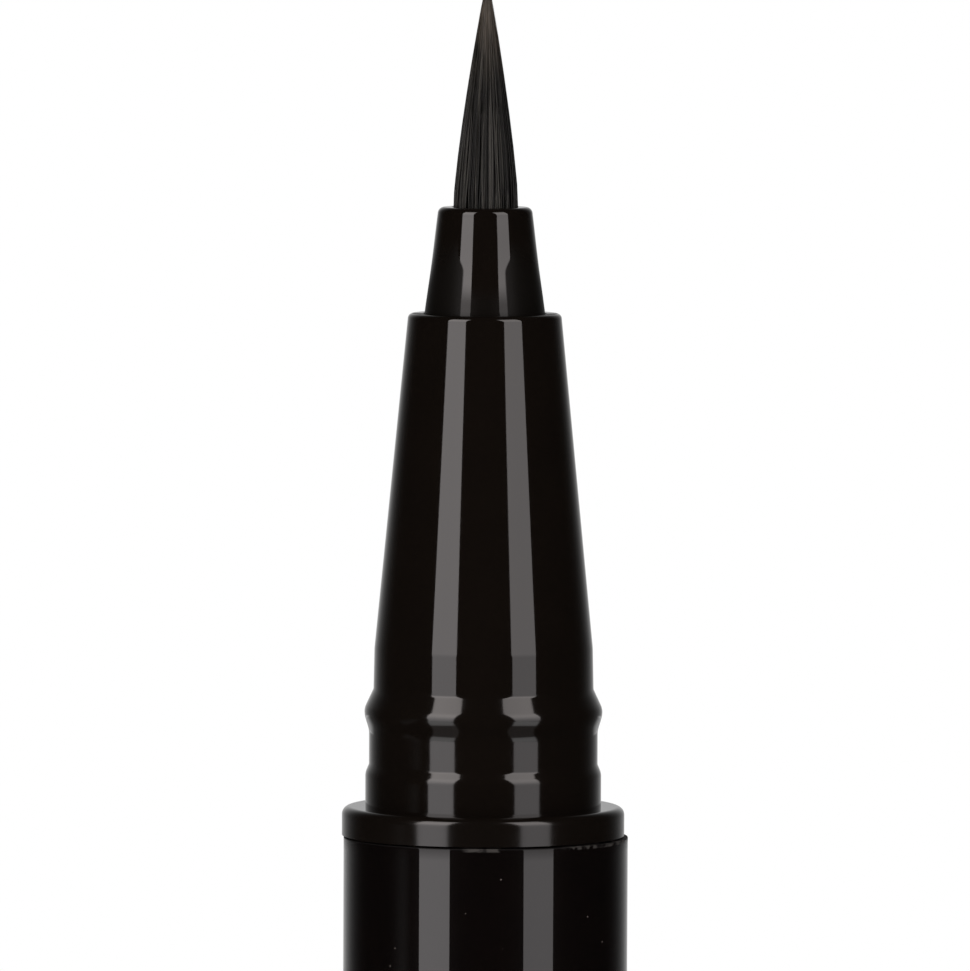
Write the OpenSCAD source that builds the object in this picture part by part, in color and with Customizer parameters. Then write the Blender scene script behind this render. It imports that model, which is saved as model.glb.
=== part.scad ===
// Liquid eyeliner pen with a brush tip. It stands tip up, with its cap posted on the tail.
// Z runs along the pen's axis. The origin is the centre of the cap's closed end, on the table.
// Every piece is turned about that axis, so outlines are lists of [radius, height].

/* [Brush] */
// Diameter of the brush at the nozzle's mouth
brush_d = 2.43; // [2:0.01:3]
// Length of the brush outside the nozzle
brush_len = 8.65; // [6:0.05:12]
// Power of the brush's outline, where 1 is a straight cone
brush_power = 1.3; // [1:0.05:2]
// How far the strands lean in by the tip, as a share of their place at the root
lean_share = 0.78; // [0.6:0.01:0.9]
// Number of strands
strand_count = 320; // [300:10:500]
// Diameter of a strand at the root, across its corners
strand_d = 0.092; // [0.06:0.002:0.094]
// Depth of the brush's root below the cone's end
root_depth = 2.3; // [1:0.1:3]
// Step from the brush's stub out to its fused root flange
root_step = 0.385; // [0.2:0.005:0.45]
// Thickness of the fused root flange
root_flange_h = 0.8; // [0.5:0.1:1.2]
// Length of the plug behind the root
retainer_len = 3; // [2:0.1:4]

/* [Brush holder] */
// Wall of the nozzle at its mouth
nozzle_wall = 0.515; // [0.4:0.005:0.7]
// Step from the nozzle's mouth out to its foot on the cone
nozzle_flare = 0.475; // [0.3:0.005:0.6]
// Length of the nozzle outside the cone
nozzle_len = 3.92; // [3:0.01:5]
// Radius on the nozzle's mouth edge
nozzle_round = 0.25; // [0.1:0.05:0.35]
// Length of the holder's stem in the shell's guide bore
stem_len = 3.2; // [2.5:0.1:4]
// Step from the holder's stem out to its flange
flange_step = 0.33; // [0.25:0.01:0.4]
// Thickness of the holder's flange
holder_flange_h = 0.8; // [0.5:0.1:1.2]
// Wall of the holder's tail
holder_wall = 0.6; // [0.4:0.05:0.75]
// Length of the holder's tail behind its flange
holder_tail_len = 6; // [5:0.1:7]

/* [Front shell] */
// Wall of the cone round the nozzle's foot
cone_end_wall = 0.565; // [0.4:0.005:0.8]
// Radius on the cone's top edge
cone_round = 0.2; // [0.05:0.05:0.3]
// Length of the cone
cone_len = 12.37; // [10:0.01:16]
// Step from the neck in to the wide end of the cone
cone_step = 0.03; // [0.01:0.005:0.1]
// Length of the neck between the cone and the snap bead
neck_len = 1.33; // [0.8:0.01:3]
// Step from the groove in to the neck
neck_step = 0.16; // [0.1:0.005:0.25]
// Length of the bead's side away from the collar
bead_fall = 1; // [0.5:0.01:2]
// Length of the bead's side towards the collar
bead_rise = 0.74; // [0.4:0.01:1.5]
// Step from the land out to the top of the snap bead
bead_step = 0.035; // [0.01:0.005:0.06]
// Length of the groove behind the snap bead
groove_len = 1.08; // [0.8:0.01:2]
// Step from the land in to the groove
groove_step = 0.135; // [0.05:0.005:0.2]
// Length of the ramp from the land down to the groove
land_ramp = 0.52; // [0.2:0.01:1]
// Length of the land that the cap slides over
land_len = 1.18; // [0.8:0.01:2]
// Step from the collar in to the land
land_step = 0.86; // [0.7:0.01:1]
// Height of the collar
collar_h = 1.07; // [0.8:0.01:2]
// Radius on the collar's outer edge
collar_round = 0.3; // [0.1:0.05:0.4]
// Step from the sleeve in to the collar that covers its end
collar_step = 0.035; // [0.01:0.005:0.1]
// Step from the holder's bay out to the collector's bay
bay_step = 0.55; // [0.4:0.05:0.7]
// Wall of the shell's spigot round the collector
spigot_wall = 0.945; // [0.75:0.005:1.2]
// Length of the shell's spigot inside the tank
spigot_len = 12; // [9:0.5:16]

/* [Barrel] */
// Wall of the ink tank
tank_wall = 0.8; // [0.6:0.05:1.2]
// Wall of the lacquered barrel sleeve
sleeve_wall = 0.35; // [0.25:0.05:0.5]
// Length of the barrel sleeve between the two collars
sleeve_len = 84; // [60:1:110]

/* [Ink feed] */
// Diameter of the feed wick
wick_d = 1.5; // [1.2:0.05:1.8]
// Length of wick that stands out into the tank
wick_tail_len = 2.1; // [1:0.1:6]
// Number of fins on the ink collector
fin_count = 20; // [10:1:22]
// Thickness of one fin
fin_t = 0.4; // [0.3:0.05:0.5]
// Wall of the ink collector's core
core_wall = 0.95; // [0.6:0.05:1.2]
// Thickness of the collector's end discs
disc_h = 0.9; // [0.6:0.1:1.2]
// Width of the capillary slit along the fins
slit_w = 0.25; // [0.15:0.05:0.4]
// Width of the air channel along the fins
air_w = 0.9; // [0.5:0.1:1.2]
// Thickness of the guard that keeps the ball off the wick
guard_h = 1.4; // [1:0.1:2]
// Diameter of one hole in the guard
guard_hole_d = 1.3; // [0.8:0.1:1.5]
// Number of holes round the guard
guard_holes = 6; // [4:1:8]
// Diameter of the steel mixing ball
ball_d = 3.5; // [2.5:0.1:5]

/* [Tail plug] */
// Length of the plug's spigot inside the tank
plug_len = 8; // [4:0.5:12]
// Wall of the plug
plug_wall = 1; // [0.8:0.05:1.2]
// Length of the posting spigot beyond its bead
plug_nose_len = 2; // [1.6:0.1:2.5]
// Radius on the end of the posting spigot
plug_round = 0.5; // [0.2:0.05:0.6]
// Wall at the closed end of the plug
plug_end_wall = 1.2; // [0.8:0.1:1.6]

/* [Seals] */
// Section width of the O-rings along the pen
ring_w = 0.9; // [0.7:0.05:1.1]
// Depth of the O-ring grooves
ring_depth = 0.5; // [0.35:0.05:0.55]
// Distance from a spigot's end to the middle of its O-ring
ring_inset = 1.5; // [1:0.1:2.5]

/* [Cap] */
// Wall of the cap shell
cap_wall = 0.35; // [0.25:0.05:0.5]
// Thickness of the cap shell's closed end
cap_end_wall = 0.5; // [0.3:0.05:1]
// Radius on the cap's closed end
cap_round = 0.6; // [0.2:0.05:0.7]
// Radius on the rim of the cap's mouth
cap_rim_round = 0.2; // [0.1:0.05:0.2]
// Step from the guide bore out to the liner's relief
relief_step = 0.09; // [0.05:0.01:0.12]
// Depth of the liner's wide mouth beyond the nose of the posted tail
mouth_room = 1.5; // [0.5:0.1:3]
// Distance from the start of the groove to the snap rib
rib_place = 0.2; // [0.1:0.05:0.3]
// Width of the snap rib
rib_w = 0.7; // [0.4:0.05:0.8]
// Thickness of the stop ring
stop_h = 1.2; // [0.8:0.1:2]
// Length of the bay for the seal cup's spring
spring_bay_len = 8.6; // [7.5:0.1:11]
// Wall at the liner's closed end
liner_end_wall = 0.8; // [0.5:0.1:1]
// Length of the recess behind the liner's closed end
recess_len = 1.2; // [0.5:0.1:3]
// Wall round the recess
recess_wall = 1.2; // [0.8:0.1:2]

/* [Seal cup] */
// Depth of the seal cup's mouth beyond the cone's end when the cap is on
cup_stand_off = 0.18; // [0.1:0.01:0.5]
// Thickness of the seal cup's flange
cup_flange_h = 1; // [0.7:0.1:1.4]
// Where the cup's bore meets the nozzle's taper, as a share of it from the mouth
seal_share = 0.42; // [0.3:0.01:0.6]
// Wall of the gasket
gasket_wall = 0.55; // [0.4:0.05:0.65]
// Bevel inside the gasket's lip
lip_bevel = 0.15; // [0.1:0.05:0.3]
// Length of the gasket
gasket_len = 1.6; // [1:0.1:2]
// Wall of the seal cup
cup_wall = 0.45; // [0.35:0.05:0.5]
// Wall at the closed end of the seal cup
cup_end_wall = 0.8; // [0.5:0.1:1]
// Room past the brush's tip in the seal cup
tip_room = 1.1; // [0.8:0.1:2]
// Travel of the seal cup against its spring
cup_travel = 1.2; // [0.8:0.1:1.5]
// Space between the seal cup and the spring round it
spring_room = 0.5; // [0.2:0.05:0.6]
// Diameter of the spring wire
wire_d = 0.4; // [0.3:0.05:0.45]
// Number of turns in the spring
spring_turns = 7; // [5:1:8]
// Gap between the wires of an end turn
end_turn_gap = 0.45; // [0.42:0.01:0.6]

/* [Fits] */
// Gap round the brush in the nozzle
brush_gap = 0.02; // [0.01:0.01:0.05]
// Gap round the holder's stem and flange in the shell
holder_gap = 0.05; // [0.03:0.01:0.1]
// Gap round the wick in its bores
wick_gap = 0.08; // [0.03:0.01:0.15]
// Gap round the collector's fins
fin_gap = 0.06; // [0.03:0.01:0.1]
// Gap between the collar and the cap's rim
rim_gap = 0.05; // [0.02:0.01:0.1]
// Radial gap between the snap bead and the cap's guide bore
bead_gap = 0.02; // [0.01:0.01:0.04]
// Gap round the neck in the liner's narrow bore
liner_gap = 0.14; // [0.05:0.01:0.2]
// Gap round the seal cup's flange in the liner
cup_gap = 0.1; // [0.05:0.01:0.2]
// Gap round the seal cup in its pocket
pocket_gap = 0.3; // [0.2:0.05:0.4]
// Gap behind the seal cup at the end of its travel
pocket_room = 1.6; // [0.2:0.1:2]
// Gap between the cone and the stop ring when the cap is on
stop_gap = 0.35; // [0.2:0.05:0.4]
// Gap under the ball at rest
ball_gap = 0.05; // [0.02:0.01:0.1]
// Gap between the ball and the wick at the end of its run
run_gap = 0.4; // [0.2:0.1:1]
// Gap at each end of the spring
spring_gap = 0.02; // [0.01:0.01:0.05]

/* [Hidden] */

// Fineness
$fn = 96;
curve_steps = 8;
cut = 1;

// Depths in the cap, from its mouth
seat_len = land_len + land_ramp + groove_len + bead_rise + bead_fall;
nose_depth = seat_len + neck_len + cone_len;
cup_mouth = nose_depth + cup_stand_off;
stop_depth = cup_mouth - stop_h;
cup_depth = nozzle_len - cup_stand_off + brush_len + tip_room;
shoulder_depth = cup_mouth + cup_flange_h + spring_bay_len;
pocket_depth = cup_mouth + cup_depth + cup_end_wall + cup_travel + pocket_room;
cap_len = pocket_depth + liner_end_wall + recess_len + cap_end_wall;
rib_depth = land_len + land_ramp + rib_place;
mouth_depth = seat_len + plug_nose_len + mouth_room;

// Heights of the pen, from the table up
z_mouth = cap_len;
z_flange = z_mouth + rim_gap;
z_tail = z_flange + collar_h;
z_seam = z_tail + sleeve_len;
z_seat = z_seam + collar_h;
z_neck = z_seat + seat_len;
z_cone = z_neck + neck_len;
z_nose = z_cone + cone_len;
z_nozzle = z_nose + nozzle_len;
z_tip = z_nozzle + brush_len;

// Diameters of the pen, from the brush outwards: each piece adds its step, wall or gap
brush_bore_d = brush_d + 2 * brush_gap;
root_flange_d = brush_d + 2 * root_step;
holder_tail_d = root_flange_d + 2 * holder_wall;
nozzle_top_d = brush_bore_d + 2 * nozzle_wall;
nozzle_base_d = nozzle_top_d + 2 * nozzle_flare;
guide_d = nozzle_base_d + 2 * holder_gap;
cone_top_d = guide_d + 2 * cone_end_wall;
holder_flange_d = nozzle_base_d + 2 * flange_step;
holder_bay_d = holder_flange_d + 2 * holder_gap;
collector_bay_d = holder_bay_d + 2 * bay_step;
fin_d = collector_bay_d - 2 * fin_gap;
wick_bore_d = wick_d + 2 * wick_gap;
core_d = wick_bore_d + 2 * core_wall;
tank_bore_d = collector_bay_d + 2 * spigot_wall;
plug_bore_d = tank_bore_d - 2 * plug_wall;
tank_d = tank_bore_d + 2 * tank_wall;
sleeve_d = tank_d + 2 * sleeve_wall;
collar_d = sleeve_d - 2 * collar_step;
land_d = collar_d - 2 * land_step;
bead_d = land_d + 2 * bead_step;
groove_d = land_d - 2 * groove_step;
neck_d = groove_d - 2 * neck_step;
cone_base_d = neck_d - 2 * cone_step;

// Heights inside the front
z_shoulder = z_nose - stem_len;
z_flange_back = z_shoulder - holder_flange_h;
z_holder_end = z_flange_back - holder_tail_len;
z_root = z_nose - root_depth;
z_root_back = z_root - root_flange_h;
z_retainer = z_root_back - retainer_len;
z_spigot_end = z_seam - spigot_len;
z_guard = z_spigot_end - guard_h;
z_wick_end = z_guard - wick_tail_len;
fins_low = z_spigot_end + disc_h;
fins_high = z_holder_end - disc_h;
fin_pitch = (fins_high - fins_low) / fin_count;

// Heights inside the tail
z_plug_end = z_flange - seat_len - plug_nose_len;
z_plug_floor = z_plug_end + plug_end_wall;
z_plug_top = z_tail + plug_len;
z_ball = z_plug_floor + ball_gap + ball_d / 2;
ball_run = z_wick_end - run_gap - ball_d / 2 - z_ball;

// Diameters of the cap
liner_d = sleeve_d - 2 * cap_wall;
cap_guide_d = bead_d + 2 * bead_gap;
relief_d = cap_guide_d + 2 * relief_step;
liner_bore_d = neck_d + 2 * liner_gap;
recess_d = liner_d - 2 * recess_wall;
cone_d_at_stop = cone_top_d + (cone_base_d - cone_top_d) * (nose_depth - stop_depth) / cone_len;
stop_hole_d = cone_d_at_stop + 2 * stop_gap;
cup_flange_d = liner_bore_d - 2 * cup_gap;
cup_bore_d = nozzle_top_d + (nozzle_base_d - nozzle_top_d) * seal_share;
gasket_lip_d = cup_bore_d + 2 * lip_bevel;
gasket_d = cup_bore_d + 2 * gasket_wall;
cup_d = gasket_d + 2 * cup_wall;
pocket_d = cup_d + 2 * pocket_gap;
spring_d = cup_d + 2 * (spring_room + wire_d);
mouth_bevel = 0.15;

// Heights in the cap, posted on the tail
z_stop = z_mouth - stop_depth;
z_cup = z_mouth - cup_mouth;
z_cup_back = z_cup - cup_flange_h;
z_liner_shoulder = z_mouth - shoulder_depth;
z_pocket = z_mouth - pocket_depth;
z_cup_floor = z_cup - cup_depth;
z_cup_end = z_cup_floor - cup_end_wall;

// The heights and runs that the mounts and joints use
echo(sleeve_d = sleeve_d, land_d = land_d, z_tail = z_tail, z_seam = z_seam, z_seat = z_seat, z_tip = z_tip);
echo(z_plug_end = z_plug_end, z_ball = z_ball, ball_run = ball_run);
echo(z_stop = z_stop, z_cup = z_cup, stop_hole_d = stop_hole_d, z_liner_shoulder = z_liner_shoulder);

// An S-shaped run of [radius, height] points between two radii
function s_curve(r0, r1, h0, h1) =
    [for (k = [0:curve_steps]) let (s = k / curve_steps)
        [r0 + (r1 - r0) * (1 - cos(180 * s)) / 2, h0 + (h1 - h0) * s]];

// A rounded outer edge, from the wall to the end face; way is 1 for a top edge, -1 for a bottom one
function edge(r, h, radius, way = 1) =
    [for (k = [0:curve_steps]) let (a = 90 * k / curve_steps)
        [r - radius * (1 - cos(a)), h - way * radius * (1 - sin(a))]];

function reversed(points) = [for (k = [len(points) - 1:-1:0]) points[k]];

// The cap seat, shared by both ends of the pen: land, ramp, groove and snap bead, from the collar outwards
function seat(h, way) =
    let (
        ramp = h + way * land_len,
        groove = ramp + way * land_ramp,
        rise = groove + way * groove_len,
        top = rise + way * bead_rise,
        neck = top + way * bead_fall
    )
    concat(
        [[land_d / 2, h]],
        s_curve(land_d / 2, groove_d / 2, ramp, groove),
        s_curve(groove_d / 2, bead_d / 2, rise, top),
        s_curve(bead_d / 2, neck_d / 2, top, neck)
    );

// The O-ring groove in a spigot of the tank's bore, from high to low
function ring_groove(h) =
    [
        [tank_bore_d / 2, h + ring_w / 2],
        [tank_bore_d / 2 - ring_depth, h + ring_w / 2],
        [tank_bore_d / 2 - ring_depth, h - ring_w / 2],
        [tank_bore_d / 2, h - ring_w / 2]
    ];

module turned(points) {
    rotate_extrude() polygon(points);
}

module tube(d_out, d_in, h0, h1) {
    difference() {
        translate([0, 0, h0]) cylinder(d = d_out, h = h1 - h0);
        translate([0, 0, h0 - cut]) cylinder(d = d_in, h = h1 - h0 + 2 * cut);
    }
}

// The brush: tapered strands that lean together, fused at the root to a stub and its flange
level_shares = [0, 0.35, 0.7];
strand_sides = 3;
golden_turn = 137.508;
backing_drop = 0.35;
strand_root_len = 0.25;
z_backing = z_nozzle - backing_drop;
root_circle_r = (brush_d - strand_d) / 2;

function lean(t) = 1 - lean_share * pow(t, brush_power);
function level_z(t) = z_nozzle + t * brush_len;
function strand_share(i) = sqrt((i + 0.5) / strand_count);
// The share of the length at which a strand meets the brush's outline and ends
function strand_end(share) = pow((1 - share) / (1 - lean_share * share), 1 / brush_power);
function strand_at(i, t, z) =
    let (out = root_circle_r * strand_share(i) * lean(t))
    [out * cos(i * golden_turn), out * sin(i * golden_turn), z];
function strand_ring(i, t, z) =
    [for (k = [0:strand_sides - 1]) let (a = i * golden_turn + 360 * k / strand_sides)
        strand_at(i, t, z) + strand_d / 2 * lean(t) * [cos(a), sin(a), 0]];

module strand(i) {
    last = strand_end(strand_share(i));
    shares = [for (t = level_shares) if (t < last) t];
    rings = [for (t = shares) each strand_ring(i, t, t == 0 ? z_backing - strand_root_len : level_z(t))];
    n = strand_sides;
    top = (len(shares) - 1) * n;
    polyhedron(
        points = concat(rings, [strand_at(i, last, level_z(last))]),
        faces = concat(
            [[for (k = [0:n - 1]) k]],
            [for (s = [0:1:len(shares) - 2], k = [0:n - 1])
                let (a = s * n + k, b = s * n + (k + 1) % n)
                each [[a, a + n, b], [b, a + n, b + n]]],
            [for (k = [0:n - 1]) [top + k, top + n, top + (k + 1) % n]]
        )
    );
}

module brush_tip() {
    color("#1c1917") union() {
        translate([0, 0, z_root]) cylinder(d = brush_d, h = z_backing - z_root);
        translate([0, 0, z_root_back]) cylinder(d = root_flange_d, h = root_flange_h);
        for (i = [0:strand_count - 1]) strand(i);
    }
}

// The holder: the tapered nozzle that shows, its stem, flange and tail inside the cone
module brush_holder() {
    color("#110f0e") difference() {
        turned(concat(
            [[0, z_nozzle]],
            reversed(edge(nozzle_top_d / 2, z_nozzle, nozzle_round)),
            [
                [nozzle_base_d / 2, z_nose],
                [nozzle_base_d / 2, z_shoulder],
                [holder_flange_d / 2, z_shoulder],
                [holder_flange_d / 2, z_flange_back],
                [holder_tail_d / 2, z_flange_back],
                [holder_tail_d / 2, z_holder_end],
                [0, z_holder_end]
            ]
        ));
        translate([0, 0, z_root - cut]) cylinder(d = brush_bore_d, h = z_nozzle - z_root + 2 * cut);
        translate([0, 0, z_holder_end - cut]) cylinder(d = root_flange_d, h = z_root - z_holder_end + cut);
    }
}

// The plug that holds the brush root against its shoulder and guides the wick
module root_retainer() {
    color("#d9d6cf") tube(root_flange_d, wick_bore_d, z_retainer, z_root_back);
}

// The fibre wick that carries ink from the tank to the brush root
module feed_wick() {
    color("#3a3633") translate([0, 0, z_wick_end]) cylinder(d = wick_d, h = z_root_back - z_wick_end);
}

// The collector: a comb of thin fins that holds surplus ink when the air in the tank warms up
function fin_points() =
    [for (k = [1:fin_count - 1]) let (h = fins_low + k * fin_pitch)
        each [
            [core_d / 2, h - fin_t / 2],
            [fin_d / 2, h - fin_t / 2],
            [fin_d / 2, h + fin_t / 2],
            [core_d / 2, h + fin_t / 2]
        ]];

module ink_collector() {
    color("#23211f") difference() {
        turned(concat(
            [
                [0, z_spigot_end],
                [collector_bay_d / 2, z_spigot_end],
                [collector_bay_d / 2, fins_low],
                [core_d / 2, fins_low]
            ],
            fin_points(),
            [
                [core_d / 2, fins_high],
                [fin_d / 2, fins_high],
                [fin_d / 2, z_holder_end],
                [root_flange_d / 2, z_holder_end],
                [root_flange_d / 2, z_retainer],
                [0, z_retainer]
            ]
        ));
        translate([0, 0, z_spigot_end - cut])
            cylinder(d = wick_bore_d, h = z_retainer - z_spigot_end + 2 * cut);
        translate([0, -slit_w / 2, z_spigot_end - cut])
            cube([collector_bay_d, slit_w, fins_high - z_spigot_end + cut]);
        translate([-core_d / 2 - collector_bay_d, -air_w / 2, fins_low])
            cube([collector_bay_d, air_w, z_holder_end - fins_low + cut]);
    }
}

// The front shell: collar, cap seat, cone and the spigot that plugs the tank, in one moulding
module front_shell() {
    color("#110f0e") turned(concat(
        [
            [collector_bay_d / 2, z_spigot_end],
            [collector_bay_d / 2, z_holder_end + holder_gap],
            [holder_bay_d / 2, z_holder_end + holder_gap],
            [holder_bay_d / 2, z_shoulder],
            [guide_d / 2, z_shoulder],
            [guide_d / 2, z_nose]
        ],
        reversed(edge(cone_top_d / 2, z_nose, cone_round)),
        [
            [cone_base_d / 2, z_cone],
            [neck_d / 2, z_neck]
        ],
        reversed(seat(z_seat, 1)),
        reversed(edge(collar_d / 2, z_seat, collar_round)),
        [
            [collar_d / 2, z_seam],
            [tank_bore_d / 2, z_seam]
        ],
        ring_groove(z_spigot_end + ring_inset),
        [[tank_bore_d / 2, z_spigot_end]]
    ));
}

module o_ring(h) {
    tube(tank_bore_d, tank_bore_d - 2 * ring_depth, h - ring_w / 2, h + ring_w / 2);
}

module front_o_ring() {
    color("#2b2b2b") o_ring(z_spigot_end + ring_inset);
}

// The guard: a drilled disc that lets ink past and keeps the ball off the wick
module ball_guard() {
    hole_circle_r = (tank_bore_d / 2 + wick_bore_d / 2) / 2;
    color("#d9d6cf") difference() {
        tube(tank_bore_d, wick_bore_d, z_guard, z_spigot_end);
        for (k = [0:guard_holes - 1])
            rotate([0, 0, 360 * k / guard_holes])
                translate([hole_circle_r, 0, z_guard - cut])
                    cylinder(d = guard_hole_d, h = guard_h + 2 * cut);
    }
}

module ink_tank() {
    color("#d9d6cf") tube(tank_d, tank_bore_d, z_tail, z_seam);
}

module barrel_sleeve() {
    color("#0b0a0a") tube(sleeve_d, tank_d, z_tail, z_seam);
}

// The tail plug: a cup that closes the tank, with the same collar and cap seat as the front
module tail_plug() {
    color("#110f0e") turned(concat(
        [[0, z_plug_end]],
        reversed(edge(neck_d / 2, z_plug_end, plug_round, -1)),
        reversed(seat(z_flange, -1)),
        reversed(edge(collar_d / 2, z_flange, collar_round, -1)),
        [
            [collar_d / 2, z_tail],
            [tank_bore_d / 2, z_tail]
        ],
        reversed(ring_groove(z_plug_top - ring_inset)),
        [
            [tank_bore_d / 2, z_plug_top],
            [plug_bore_d / 2, z_plug_top],
            [plug_bore_d / 2, z_plug_floor],
            [0, z_plug_floor]
        ]
    ));
}

module tail_o_ring() {
    color("#2b2b2b") o_ring(z_plug_top - ring_inset);
}

module mixing_ball() {
    color("silver") translate([0, 0, z_ball]) sphere(d = ball_d);
}

// The cap shell: a drawn tube with a closed, rounded end and a rounded rim
module cap_shell() {
    color("#0b0a0a") turned(concat(
        [
            [0, cap_end_wall],
            [liner_d / 2, cap_end_wall],
            [liner_d / 2, z_mouth]
        ],
        reversed(edge(sleeve_d / 2, z_mouth, cap_rim_round)),
        edge(sleeve_d / 2, 0, cap_round, -1),
        [[0, 0]]
    ));
}

// The liner: guide bore and snap rib at the mouth, spring bay and closed pocket deeper down
module cap_liner() {
    color("#1a1918") turned([
        [recess_d / 2, cap_end_wall],
        [liner_d / 2, cap_end_wall],
        [liner_d / 2, z_mouth],
        [cap_guide_d / 2 + mouth_bevel, z_mouth],
        [cap_guide_d / 2, z_mouth - mouth_bevel],
        [cap_guide_d / 2, z_mouth - land_len],
        [relief_d / 2, z_mouth - land_len - land_ramp / 2],
        [relief_d / 2, z_mouth - rib_depth + rib_place],
        [cap_guide_d / 2, z_mouth - rib_depth],
        [cap_guide_d / 2, z_mouth - rib_depth - rib_w],
        [relief_d / 2, z_mouth - rib_depth - rib_w - rib_place],
        [relief_d / 2, z_mouth - mouth_depth],
        [liner_bore_d / 2, z_mouth - mouth_depth],
        [liner_bore_d / 2, z_liner_shoulder],
        [pocket_d / 2, z_liner_shoulder],
        [pocket_d / 2, z_pocket],
        [0, z_pocket],
        [0, z_pocket - liner_end_wall],
        [recess_d / 2, z_pocket - liner_end_wall]
    ]);
}

// The ring that keeps the seal cup in the liner
module stop_ring() {
    color("#d9d6cf") tube(liner_bore_d, stop_hole_d, z_cup, z_stop);
}

// The spring behind the seal cup: an open helix, with its end turns closer together
spring_sides = 6;
spring_rings = 8;
end_turns = 1;
spring_r = (spring_d - wire_d) / 2;
spring_low = z_liner_shoulder + spring_gap + wire_d / 2;
spring_high = z_cup_back - spring_gap - wire_d / 2;
end_pitch = wire_d + end_turn_gap;
open_pitch = (spring_high - spring_low - 2 * end_turns * end_pitch) / (spring_turns - 2 * end_turns);
function spring_height(turn) =
    turn < end_turns ? spring_low + turn * end_pitch
    : turn > spring_turns - end_turns ? spring_high - (spring_turns - turn) * end_pitch
    : spring_low + end_turns * end_pitch + (turn - end_turns) * open_pitch;
spring_path = [for (k = [0:spring_turns * spring_rings])
    let (a = 360 * k / spring_rings)
    [spring_r * cos(a), spring_r * sin(a), spring_height(k / spring_rings)]];
// The least gap from any point of the wire to another, half a turn or more along
spring_last = len(spring_path) - 1;
spring_least_gap = min([for (i = [0:spring_last], j = [i + spring_rings / 2:1:spring_last])
    norm(spring_path[i] - spring_path[j])]) - wire_d;
echo(spring_least_gap = spring_least_gap);

module seal_spring() {
    rings = [for (k = [0:spring_last], j = [0:spring_sides - 1])
        let (
            a = 360 * k / spring_rings,
            b = 360 * j / spring_sides
        )
        spring_path[k] + wire_d / 2 * [cos(a) * cos(b), sin(a) * cos(b), sin(b)]];
    last = spring_last * spring_sides;
    color("silver") polyhedron(
        points = rings,
        faces = concat(
            [[for (j = [0:spring_sides - 1]) j]],
            [for (k = [0:spring_last - 1], j = [0:spring_sides - 1])
                let (
                    a = k * spring_sides + j,
                    b = k * spring_sides + (j + 1) % spring_sides
                )
                each [[a, a + spring_sides, b], [b, a + spring_sides, b + spring_sides]]],
            [[for (j = [spring_sides - 1:-1:0]) last + j]]
        )
    );
}

// The seal cup: it closes over the nozzle so that the brush doesn't dry out
module seal_cup() {
    color("#e4e1da") turned([
        [gasket_d / 2, z_cup],
        [cup_flange_d / 2, z_cup],
        [cup_flange_d / 2, z_cup_back],
        [cup_d / 2, z_cup_back],
        [cup_d / 2, z_cup_end],
        [0, z_cup_end],
        [0, z_cup_floor],
        [cup_bore_d / 2, z_cup_floor],
        [cup_bore_d / 2, z_cup - gasket_len],
        [gasket_d / 2, z_cup - gasket_len]
    ]);
}

// The soft gasket in the seal cup's mouth
module cup_gasket() {
    color("#2b2b2b") turned([
        [gasket_lip_d / 2, z_cup],
        [gasket_d / 2, z_cup],
        [gasket_d / 2, z_cup - gasket_len],
        [cup_bore_d / 2, z_cup - gasket_len]
    ]);
}

brush_tip();
brush_holder();
root_retainer();
feed_wick();
ink_collector();
front_shell();
front_o_ring();
ball_guard();
ink_tank();
barrel_sleeve();
tail_plug();
tail_o_ring();
mixing_ball();
cap_shell();
cap_liner();
stop_ring();
seal_spring();
seal_cup();
cup_gasket();
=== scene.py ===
# %% [markdown]
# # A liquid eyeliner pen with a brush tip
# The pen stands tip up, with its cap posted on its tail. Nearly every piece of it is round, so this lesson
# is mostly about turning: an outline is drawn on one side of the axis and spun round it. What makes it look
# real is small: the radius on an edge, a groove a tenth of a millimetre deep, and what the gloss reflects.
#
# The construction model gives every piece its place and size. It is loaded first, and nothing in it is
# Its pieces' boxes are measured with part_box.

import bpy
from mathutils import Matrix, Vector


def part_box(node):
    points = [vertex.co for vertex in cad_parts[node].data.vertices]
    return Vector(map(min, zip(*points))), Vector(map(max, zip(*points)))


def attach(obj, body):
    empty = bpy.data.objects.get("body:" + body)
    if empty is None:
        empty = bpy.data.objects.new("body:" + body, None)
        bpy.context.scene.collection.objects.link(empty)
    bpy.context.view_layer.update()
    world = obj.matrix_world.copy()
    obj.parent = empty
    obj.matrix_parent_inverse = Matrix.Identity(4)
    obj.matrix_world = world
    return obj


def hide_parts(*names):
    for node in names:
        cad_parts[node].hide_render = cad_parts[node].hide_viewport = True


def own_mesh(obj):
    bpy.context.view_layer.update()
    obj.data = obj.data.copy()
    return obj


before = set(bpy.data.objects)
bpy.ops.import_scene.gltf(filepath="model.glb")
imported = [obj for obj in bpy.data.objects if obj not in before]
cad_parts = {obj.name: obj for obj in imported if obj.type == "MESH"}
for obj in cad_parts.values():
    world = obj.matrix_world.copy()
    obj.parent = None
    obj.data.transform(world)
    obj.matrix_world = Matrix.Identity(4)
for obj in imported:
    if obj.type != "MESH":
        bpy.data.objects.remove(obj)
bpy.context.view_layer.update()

# %% Tools of the language and of Blender
import math
import random

import bpy
from mathutils import Matrix, Vector

MM = 0.001
print("One millimetre is", MM, "of Blender's metres")

# %% [markdown]
# Blender works in metres and the pen is drawn in millimetres, so MM turns one into the other. The heights
# below are read from the construction model, so that the pieces meet where it says. Only the sleeve's upper
# rim lies a little lower. The photograph shows that gap to the collar as a dark line.

# %% Heights along the pen, in millimetres
def low(node):
    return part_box(node)[0][2] / MM


def high(node):
    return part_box(node)[1][2] / MM


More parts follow.
